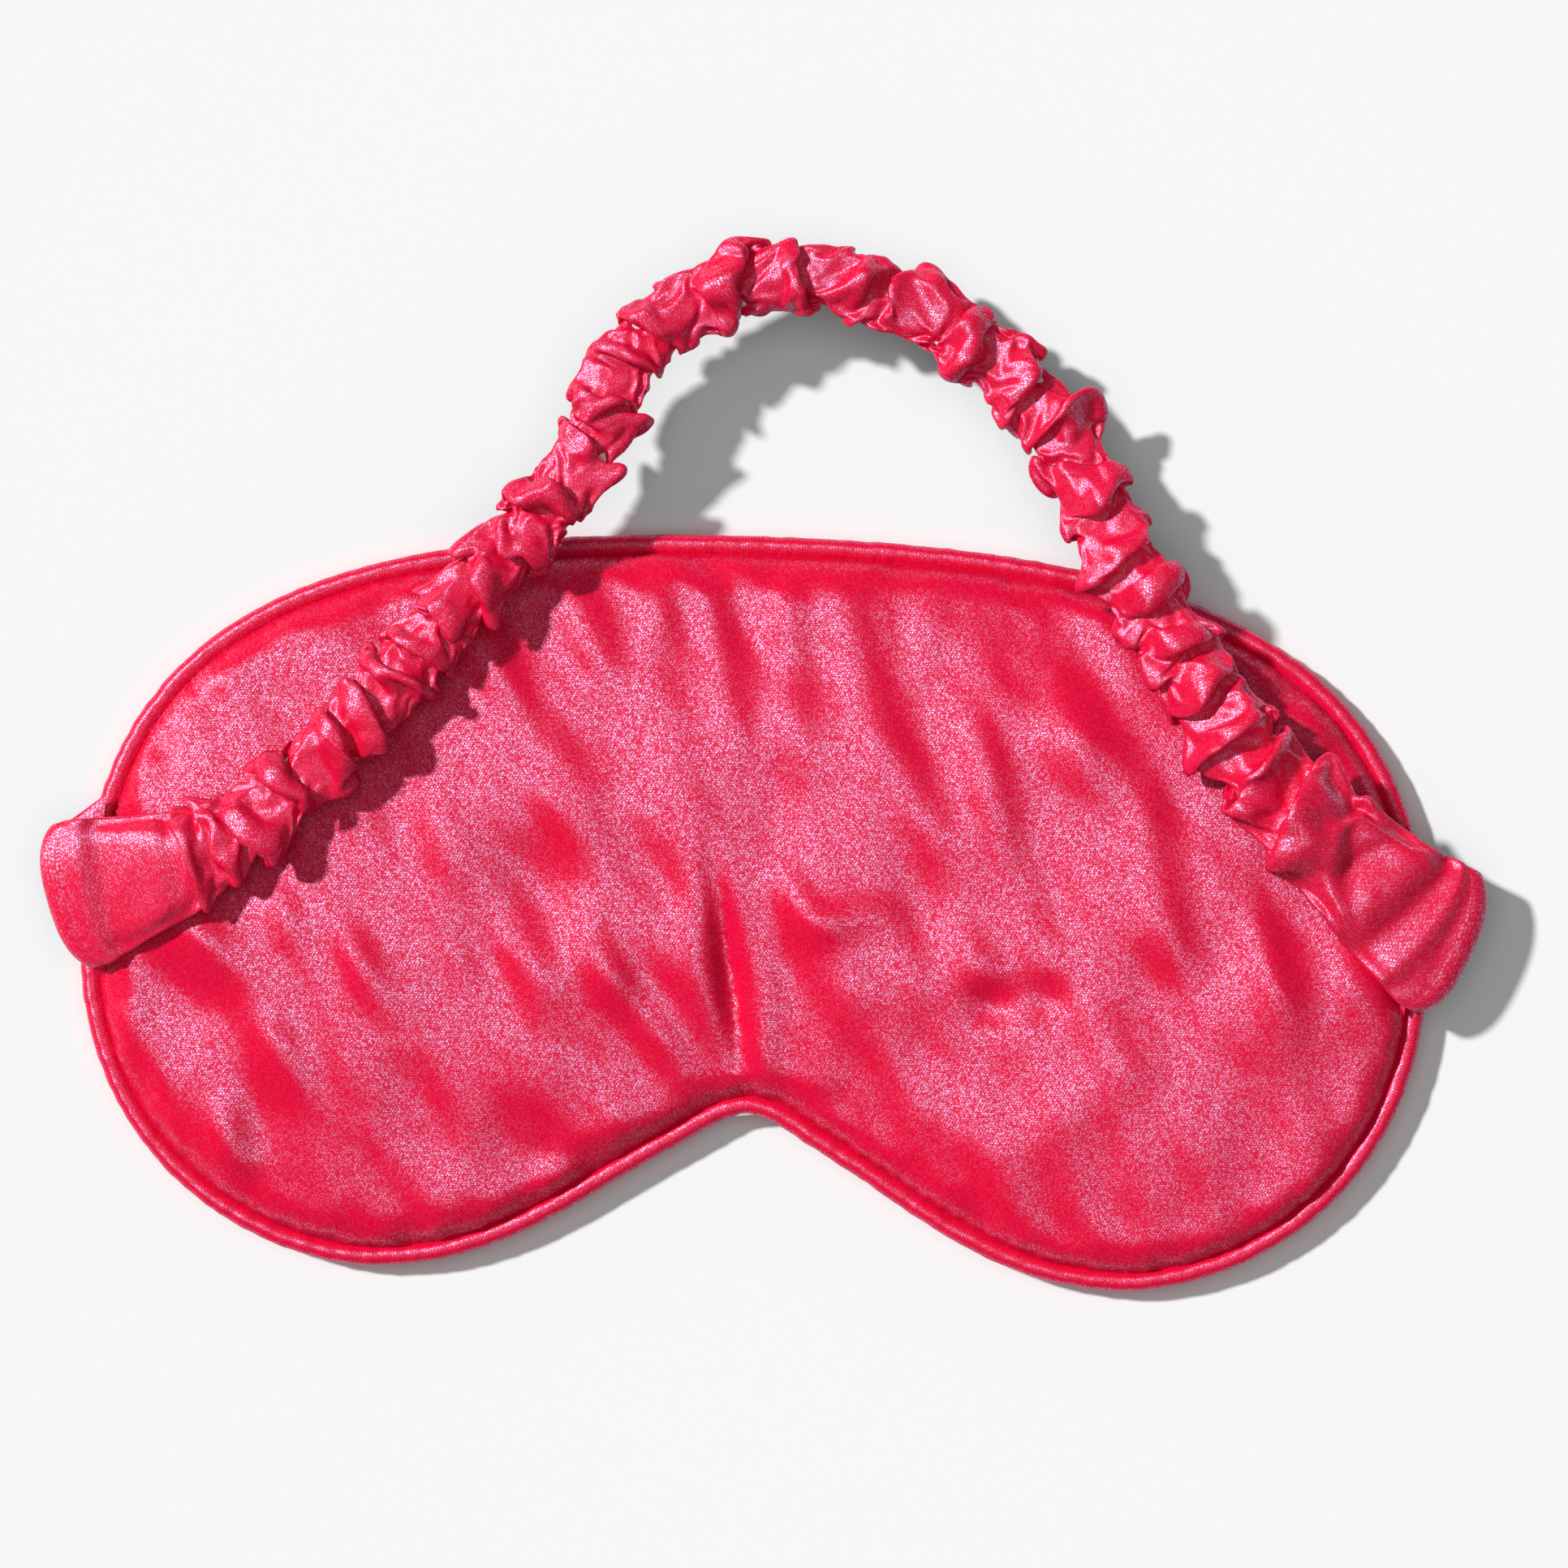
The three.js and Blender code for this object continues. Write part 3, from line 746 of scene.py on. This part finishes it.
# Along the strap, in millimetres from the left crease: cloth length over strap length, half width and half
# thickness of the cloth in its valleys, pitch of its folds, how much they wind like a screw, and how steeply
# they cross the strap.
STRAP_STATIONS = np.array([
    (0, 1.00, 11.6, 1.7, 8.0, 0.0, 0.0),
    (9, 1.00, 10.4, 2.0, 8.0, 0.0, 0.2),
    (15, 1.06, 9.2, 2.1, 6.0, 0.0, 0.2),
    (20, 1.9, 6.6, 1.4, 4.8, 0.1, 0.1),
    (27, 2.4, 5.6, 1.3, 5.0, 0.3, 0.0),
    (38, 2.3, 4.4, 1.1, 7.8, 1.0, 0.0),
    (80, 2.2, 4.2, 1.1, 8.0, 1.0, 0.0),
    (112, 2.2, 4.2, 1.1, 8.5, 1.0, 0.0),
    (150, 2.2, 4.3, 1.1, 10.5, 0.9, 0.2),
    (162, 1.6, 4.2, 1.0, 9.5, 0.6, 0.2),
    (185, 2.2, 4.3, 1.1, 9.5, 1.0, 0.0),
    (215, 2.2, 4.5, 1.2, 10.5, 0.8, -0.2),
    (235, 2.2, 5.2, 1.3, 8.5, 0.5, -0.5),
    (262, 2.1, 6.4, 1.5, 7.2, 0.2, -0.5),
    (273, 1.7, 8.0, 1.8, 8.0, 0.1, -0.5),
    (281, 1.12, 9.6, 2.2, 9.0, 0.0, -0.4),
    (291, 1.02, 10.8, 2.3, 9.0, 0.0, -0.2),
    (303, 1.00, 12.0, 1.7, 9.0, 0.0, 0.0),
])


def strap_frame(route):
    """Sideways and upward directions along the strap; at its ends the width lies along the crease."""
    tangent = np.gradient(route, axis=0)
    tangent /= np.linalg.norm(tangent, axis=1)[:, None]
    side = np.cross(tangent, [0, 0, 1.0])
    side /= np.linalg.norm(side, axis=1)[:, None]
    distance = along(route)
    for name, at_end in (("left", distance), ("right", distance[-1] - distance)):
        share = 1 - smoothstep(at_end, 0, 30)[:, None]
        side = side * (1 - share) + crease_side(name) * share
        side /= np.linalg.norm(side, axis=1)[:, None]
    up = np.cross(side, tangent)
    up /= np.linalg.norm(up, axis=1)[:, None]
    return side, up


def crease_side(name):
    low, high = np.array(CREASES[name])
    crease = np.array([*(low - high), 0])
    return crease / np.linalg.norm(crease)


def meander_angle(gather):
    """How far a wavy line swings from its mean direction so that it is gather times as long as its span."""
    swing = np.linspace(0, 2.1, 60)
    turn = np.linspace(0, 2 * math.pi, 200, endpoint=False)
    ratio = 1 / np.cos(swing[:, None] * np.sin(turn)).mean(axis=1)
    return np.interp(gather, ratio, swing)


def running_mean(values, reach):
    """Each column's average over that many rows to either side."""
    padded = np.vstack([np.repeat(values[:1], reach, 0), values, np.repeat(values[-1:], reach, 0)])
    window = np.hanning(2 * reach + 3)[1:-1]
    window /= window.sum()
    return np.stack([np.convolve(column, window, mode="valid") for column in padded.T], axis=1)


def ridge_wave(phase):
    """A wave with the steeper side falling: a fold built on it has a tight crest and a wide valley."""
    return np.sin(phase - 0.3 * np.sin(phase))


WANDER_PITCH = 6.0  # distance between random changes of the folds
HAND_PITCH = 31  # distance over which screw-like folds change from one hand to the other and back


def fold_pattern(x, pitch, wound, slant, turn):
    """How the cloth rises (+) and falls (-) along its length: screw-like folds of both hands, crosswise folds
    and small ones."""
    rng = np.random.default_rng(SEED + 2)
    knots = np.arange(0, x[-1] + 9, WANDER_PITCH)

    def wander(size):
        return size * np.interp(x, knots, rng.uniform(-1, 1, len(knots)))[:, None]

    pitch = pitch * (1 + wander(0.3))
    phase = 2 * math.pi * np.concatenate([[0], np.cumsum(np.diff(x) / pitch[1:, 0])])[:, None]
    hand = smoothstep(0.5 + np.sin(2 * math.pi * x / HAND_PITCH + 1.0)[:, None] + wander(0.5))
    right_hand = ridge_wave(phase + turn + wander(0.8))
    left_hand = ridge_wave(phase - turn + math.pi + wander(0.8))
    crossing = ridge_wave(phase + (slant + wander(0.5)) * np.cos(turn) * 2)
    pattern = wound * (hand * right_hand + (1 - hand) * left_hand) + (1 - wound) * crossing
    for _ in range(7):
        lobes = rng.integers(1, 4) * rng.choice([-1, 1])
        wave = 2 * math.pi * x[:, None] / rng.uniform(4.0, 9)
        pattern = pattern + 0.12 * np.sin(wave + lobes * turn + rng.uniform(0, 2 * math.pi))
    return pattern * (1 + wander(0.18))


def tube_rings(length):
    """Cloth length up to each ring of the casing, the ring's place on the strap, and its station values."""
    at = STRAP_STATIONS[:, 0] * length / STRAP_STATIONS[-1, 0]
    fine = np.linspace(0, length, 2000)
    gather = np.interp(fine, at, STRAP_STATIONS[:, 1])
    cloth_length = np.concatenate([[0], np.cumsum((gather[1:] + gather[:-1]) / 2 * np.diff(fine))])
    rings = int(round(cloth_length[-1] / STRAP_EDGE)) + 1
    rest_x = np.linspace(0, cloth_length[-1], rings)
    x = np.interp(rest_x, cloth_length, fine)
    return rest_x, x, [np.interp(x, at, STRAP_STATIONS[:, k])[:, None] for k in range(1, 7)]


def folded_cloth(step, swing):
    """How far a cloth line that swings about its mean direction gets outwards and forwards of a plain one."""
    out = np.cumsum(np.sin(swing) * step, axis=0)
    forward = np.cumsum(np.cos(swing) * step, axis=0)
    period = int(DRIFT_REACH / step)
    return out - running_mean(out, period), forward - running_mean(forward, period)


def fold_lay(x, length, loose):
    """How far the folds lean along the strap, to and fro."""
    knots = np.arange(0, length + LAY_PITCH, LAY_PITCH)
    lay = np.interp(x, knots, np.random.default_rng(SEED + 7).uniform(-1.5, 1.5, len(knots)))[:, None]
    return 0.8 * np.tanh(1.5 * lay) * loose


def elastic_core(length):
    """A plain tube that keeps the casing off the elastic."""
    x = np.arange(0, length, 2.0)
    turn = np.arange(CORE_SIDES) * 2 * math.pi / CORE_SIDES
    y = np.tile(CORE[0] * np.cos(turn), (len(x), 1))
    z = np.tile(CORE[1] * np.sin(turn), (len(x), 1))
    points = np.stack([np.repeat(x[:, None], CORE_SIDES, 1), y, z], axis=-1).reshape(-1, 3)
    return points, tube_faces(len(x), CORE_SIDES)


def gathered_tube(length):
    """The strap's casing in a straight space (x along, y across, z up), with each ring's cloth length."""
    rest_x, x, stations = tube_rings(length)
    gather, half_width, half_thick, pitch, wound, slant = stations
    rings = len(rest_x)
    turn = np.arange(STRAP_SIDES) * 2 * math.pi / STRAP_SIDES
    pattern = fold_pattern(x, pitch, wound, slant, turn)
    out, forward = folded_cloth(rest_x[1], meander_angle(gather) * pattern)
    loose = smoothstep(gather, 1.0, 1.7)
    lay = fold_lay(x, length, loose)
    forward = forward + lay * out
    out = np.maximum(FOLD_SIZE * np.sqrt(1 - 0.85 * lay ** 2) * out * loose + FOLD_ROOM * loose, 0)
    y = (half_width + out) * np.cos(turn)
    z = (half_thick + out) * np.sin(turn)
    z = np.where(z < 0, z * UNDERSIDE_SHARE, z)
    long_x = x[:, None] + np.clip(forward, -4, 4) * loose
    start = np.stack([long_x, y, z], axis=-1).reshape(-1, 3)
    radius = TUBE_ROUND / (2 * math.pi)
    rest = np.broadcast_arrays(rest_x[:, None], radius * np.cos(turn), radius * np.sin(turn))
    rest = np.stack(rest, axis=-1).reshape(-1, 3)
    pin = np.repeat(0.5 * (1 - smoothstep(gather[:, 0], 1.0, 1.5)), STRAP_SIDES)
    pin[:STRAP_SIDES] = 1
    pin[-STRAP_SIDES:] = 1
    start = simulate(start, tube_faces(rings, STRAP_SIDES), rest, pin, [elastic_core(length)],
                     frames=14, stretch=80, shear=20, bend=12, pressure=1.2, air=1, quality=5,
                     self_collision=True)
    return start.reshape(rings, STRAP_SIDES, 3), rest_x


def on_route(route, x, field):
    """A field given at the route's points, looked up at the distances x along it."""
    distance = along(route)
    flat = np.stack([np.interp(x.ravel(), distance, field[:, k]) for k in range(3)], axis=1)
    return flat.reshape(*x.shape, 3)


SPLIT_Y = 22.0


def hinge_blend(piece, name):
    low, high = np.array(CREASES[name])
    middle = (low + high) / 2
    crease = crease_side(name)[:2]
    inward = np.array([-crease[1], crease[0]])
    inward *= -np.sign(inward[0]) * np.sign(middle[0])
    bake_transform(piece)


def stretch_blend(piece):
    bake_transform(piece)


def strap_part(name, node, points, rest_x, first, last):
    """The casing from one of its rings to another, as a piece."""
    part = points[first:last + 1]
    sides = points.shape[1]
    uv = tube_uv(rest_x[first:last + 1], np.arange(sides + 1) * TUBE_ROUND / sides)
    piece = subdivide(mesh_object(name, part.reshape(-1, 3), tube_faces(len(part), sides), uv))
    return dress(piece, node, STRAP_SATIN)


# Soft pleats of the flat sleeves: distance from the crease at the brow edge, height, half width, and how
# much further from the crease they lie at the other edge.
SLEEVE_ROLLS = {
    "left": ((3.8, 1.1, 1.5, -2.4), (7.8, -0.7, 2.4, -3.3), (18.0, 0.9, 4.5, -5.6)),
    "right": ((1.6, 1.0, 1.6, 6.0), (5.0, -0.9, 2.0, 8.0), (9.5, 0.9, 2.6, 9.5), (15.5, -0.8, 2.0, 10.0)),
}


SLEEVE_HALF_WIDTH = 12.0
CORNER_ROUNDING = 3.0  # how far the sleeve's corners are drawn in at the crease
CORNER_REACH = 11


def soften_end(tube, from_crease, name):
    """Rounds the corners of the sleeve at its crease and gives it its soft pleats."""
    across = tube[..., 1] / SLEEVE_HALF_WIDTH
    near = 1 - smoothstep(from_crease, 0, CORNER_REACH)
    inward = CORNER_ROUNDING * np.clip(np.abs(across), 0, 1) ** 4 * near
    tube[..., 0] += inward if name == "left" else -inward
    for middle, height, width, slant in SLEEVE_ROLLS[name]:
        wave = from_crease - middle - slant * (1 + across) / 2
        tube[..., 2] += height * np.exp(-(wave / width) ** 2) * smoothstep(from_crease, 0, 1.5)


def strap():
    route = strap_route()
    side, up = strap_frame(route)
    tube, rest_x = gathered_tube(along(route)[-1])
    for name, from_crease in (("left", tube[..., 0].copy()), ("right", along(route)[-1] - tube[..., 0])):
        soften_end(tube, from_crease, name)
    x = np.clip(tube[..., 0], 0, along(route)[-1])
    placed = (on_route(route, x, route) + tube[..., 1:2] * on_route(route, x, side)
              + tube[..., 2:3] * on_route(route, x, up))
    middle = placed.mean(axis=1)
    above = np.flatnonzero(middle[:, 1] > SPLIT_Y)
    first, last = above[0], above[-1]
    end = len(placed) - 1
    left = strap_part("strap_sleeve_left", "strap_casing_left", placed, rest_x, 0, first)
    band = strap_part("strap_band", "strap_casing_crown", placed, rest_x, first, last)
    right = strap_part("strap_sleeve_right", "strap_casing_right", placed, rest_x, last, end)
    hinge_blend(left, "left")
    hinge_blend(right, "right")
    stretch_blend(band)
    strap_fold("left", placed[0], -1)
    strap_fold("right", placed[-1], 1)
    elastic(route, side, up)


TAPE = (3.5, 0.42)  # half width and half thickness of the elastic tape
TAPE_SIDES = 16
TAPE_END = 8  # the tape in the strap stops short of the creases; the CAD ends go on from there


def elastic(route, side, up):
    """Flat ribbed tape along the strap's middle line, in three lengths split where the casing's pieces are
    split.
    """
    steps = np.arange(TAPE_END, along(route)[-1] - TAPE_END, 1.0)
    centre, across, above = (on_route(route, steps, field) for field in (route, side, up))
    turn = np.arange(TAPE_SIDES) * 2 * math.pi / TAPE_SIDES
    width = TAPE[0] * np.sign(np.cos(turn)) * np.abs(np.cos(turn)) ** 0.5
    thick = TAPE[1] * np.sign(np.sin(turn)) * np.abs(np.sin(turn)) ** 0.5
    rib = 1 + 0.12 * np.sin(steps * math.pi)[:, None, None]
    sideways = width[None, :, None] * across[:, None]
    rings = centre[:, None] + sideways + rib * thick[None, :, None] * above[:, None]
    over = np.flatnonzero(centre[:, 1] > SPLIT_Y)
    spans = (("elastic_left", 0, over[0]), ("elastic_crown", over[0], over[-1]),
             ("elastic_right", over[-1], len(steps) - 1))
    for name, first, last in spans:
        part = rings[first:last + 1]
        faces = tube_faces(len(part), TAPE_SIDES) + end_caps(len(part), TAPE_SIDES)
        piece = mesh_object(name, part.reshape(-1, 3), faces)
        dress(piece, "strap_" + name, ELASTIC)
        if name == "elastic_crown":
            stretch_blend(piece)
        else:
            hinge_blend(piece, name.split("_")[1])


def strap_fold(name, ring, sign):
    """The strap's end: from its last ring round the crease and back in to the side seam."""
    low, high = np.array(CREASES[name])
    middle = (low + high) / 2
    half = np.linalg.norm(high - low) / 2
    crease = crease_side(name)
    outward = np.array([-crease[1], crease[0], 0])
    outward *= np.sign(outward[0]) * sign
    bend_z = (CREASE_Z + SEWN_END_Z) / 2
    bend_radius = (CREASE_Z - SEWN_END_Z) / 2
    local = ring - np.array([*middle, CREASE_Z])
    across = local @ crease
    reach = local @ outward
    thick = local[:, 2]
    radius = np.maximum(bend_radius + thick, 0.2)
    rings = []
    for angle in np.linspace(0, math.pi, 11):
        at = np.array([*middle, bend_z]) + across[:, None] * crease
        at = at + (reach + 1.15 * radius * math.sin(angle))[:, None] * outward
        at[:, 2] += radius * math.cos(angle)
        rings.append(at)
    last = rings[-1]
    seam_middle = np.array([sign * (PIPING_HIGH[0] - SEAM_INSET - 0.5), 0, 0])
    seam_points = seam_middle + (across / half)[:, None] * np.array([0, -SEWN_REACH, 0])
    for share in np.linspace(0, 1, 8)[1:]:
        at = last * (1 - share) + seam_points * share
        at[:, 2] = SEWN_END_Z - thick * (1 - 0.35 * share)
        rings.append(at)
    points = np.array(rings)
    run = along(points.mean(axis=1))
    faces = tube_faces(len(points), len(ring))
    uv = np.array(tube_uv(run, np.arange(len(ring) + 1) * TUBE_ROUND / len(ring)))
    if sign < 0:
        faces = [face[::-1] for face in faces]
        uv = uv.reshape(-1, 4, 2)[:, ::-1].reshape(-1, 2)
    piece = subdivide(mesh_object("strap_fold_" + name, points.reshape(-1, 3), faces, uv))
    dress(piece, "strap_end_" + name, STRAP_SATIN, "mask")


# -------- stitches

def stitches(name, node, path, height, closed=True, pitch=2.7, length=2.1, radius=0.2):
    """A row of short raised stitches along a path, each one dipping into the cloth at its ends."""
    total = along(path, closed)[-1]
    count = int(total / pitch)
    points, faces = [], []
    sides, beads = 6, 5
    for k in range(count):
        reach = (k + 0.5) * total / count + np.linspace(-0.5, 0.5, beads) * length
        line = resample(path, reach % total, closed)
        direction = line[-1] - line[0]
        direction /= np.linalg.norm(direction)
        normal = np.array([-direction[1], direction[0], 0])
        for bead, place_on in zip(np.linspace(-1, 1, beads), line):
            slim = radius * math.sqrt(max(0.15, 1 - bead * bead * 0.9))
            dip = -0.25 * bead ** 4
            for j in range(sides):
                turn = j * 2 * math.pi / sides
                ring_point = np.array([*place_on, height + dip]) + normal * slim * math.cos(turn)
                points.append(ring_point + np.array([0, 0, slim * math.sin(turn)]))
        base = k * sides * beads
        strip = tube_faces(beads, sides) + end_caps(beads, sides)
        faces += [tuple(base + v for v in face) for face in strip]
    piece = mesh_object(name, points, faces)
    dress(piece, node, THREAD, "mask")


STITCH_INSET = SEAM_INSET + 0.15
STITCH_RISE = 0.95  # above and below the middle of the seam
SIDE_STITCH_RISE = 1.6
SIDE_SEAM_REACH = 14  # half of the sewn length at each side


def all_stitches():
    """The two threads of the seam round the pad, and the close stitching over the strap's ends."""
    seam = offset_loop(OUTLINE, STITCH_INSET)
    stitches("needle_stitches", "seam_needle_thread", seam, SEAM_Z + STITCH_RISE)
    stitches("bobbin_stitches", "seam_bobbin_thread", seam, SEAM_Z - STITCH_RISE)
    for name, sign in (("left", -1), ("right", 1)):
        line = seam[(seam[:, 0] * sign > 0) & (np.abs(seam[:, 1]) < SIDE_SEAM_REACH)]
        line = line[np.argsort(line[:, 1])]
        stitches("side_stitches_" + name, "side_stitching_" + name, line, SEAM_Z + SIDE_STITCH_RISE,
                 closed=False, pitch=1.3, length=1.2, radius=0.25)


# -------- studio

KEY_DIRECTION = Vector((-0.90, 0.42, 1.0))  # towards the lamp: left, the brow side and up
SOFT_BOX_PLACE = Vector((0.0, 0.03, 1.1))
ROOM_LIGHT = 0.12
ROOM_DIM = -0.09  # taken off it in reflections
FLOOR_REACH = 3000
FLOOR_Z = -0.2


def pale_room():
    """An even pale world that hardly shows in the satin."""
    world = bpy.data.worlds.new("studio")
    bpy.context.scene.world = world
    world.use_nodes = True
    background = world.node_tree.nodes["Background"]
    background.inputs[0].default_value = (1, 1, 1, 1)
    path = world.node_tree.nodes.new("ShaderNodeLightPath")
    strength = math_node(world.node_tree, "MULTIPLY_ADD", path.outputs["Is Glossy Ray"], ROOM_DIM, ROOM_LIGHT)
    world.node_tree.links.new(strength, background.inputs[1])


def lamp(name, light, towards, location=(0, 0, 0)):
    holder = bpy.data.objects.new(name, light)
    holder.location = location
    holder.rotation_euler = towards.to_track_quat("Z", "Y").to_euler()
    bpy.context.scene.collection.objects.link(holder)
    return holder


def floor():
    reach = FLOOR_REACH
    corners = np.array([(-reach, -reach, 0), (reach, -reach, 0), (reach, reach, 0), (-reach, reach, 0)])
    sheet = mesh_object("floor", corners, [(0, 1, 2, 3)], smooth=False)
    sheet.location.z = FLOOR_Z * MM
    material, shader = new_material("paper")
    shader.inputs["Base Color"].default_value = (0.92, 0.92, 0.92, 1)
    shader.inputs["Roughness"].default_value = 0.9
    shader.inputs["Specular IOR Level"].default_value = 0.1
    sheet.data.materials.append(material)


def studio():
    """A crisp key light from the left and the brow side, a soft box overhead and a pale room."""
    pale_room()
    sun = bpy.data.lights.new("key", "SUN")
    sun.energy = 3.1
    sun.angle = math.radians(4)
    lamp("key", sun, KEY_DIRECTION)
    panel = bpy.data.lights.new("soft_box", "AREA")
    panel.shape = "RECTANGLE"
    panel.size = 1.00
    panel.size_y = 0.90
    panel.energy = 3.0
    soft_box = lamp("soft_box", panel, SOFT_BOX_PLACE, SOFT_BOX_PLACE)
    soft_box.visible_glossy = False
    floor()


SEEN_WIDTH = 0.2415  # metres of table across the picture
SEEN_MIDDLE = (0.0038, 0.0193)
SEEN_LEVEL = 0.01  # height at which it is that wide
CAMERA_TURN = 2  # degrees


def camera():
    """Straight above the mask, with a long lens."""
    lens = bpy.data.cameras.new("camera")
    lens.lens = 100
    lens.sensor_width = 36
    lens.clip_start = 0.01
    view = bpy.data.objects.new("camera", lens)
    view.location = (*SEEN_MIDDLE, SEEN_LEVEL + SEEN_WIDTH * lens.lens / lens.sensor_width)
    view.rotation_euler = (0, 0, math.radians(CAMERA_TURN))
    scene = bpy.context.scene
    scene.view_settings.view_transform = "Standard"
    scene.collection.objects.link(view)
    scene.camera = view


def dress_cad_nodes():
    """Materials for the CAD solids that stay: they lie inside the others."""
    for node, material in (("foam_pad", FOAM), ("blackout_lining", LINING), ("piping_cord", CORD),
                           ("elastic_end_left", ELASTIC), ("elastic_end_right", ELASTIC)):
        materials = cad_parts[node].data.materials
        materials.clear()
        materials.append(material)


panel_pieces()
piping()
strap()
all_stitches()
dress_cad_nodes()
studio()
camera()
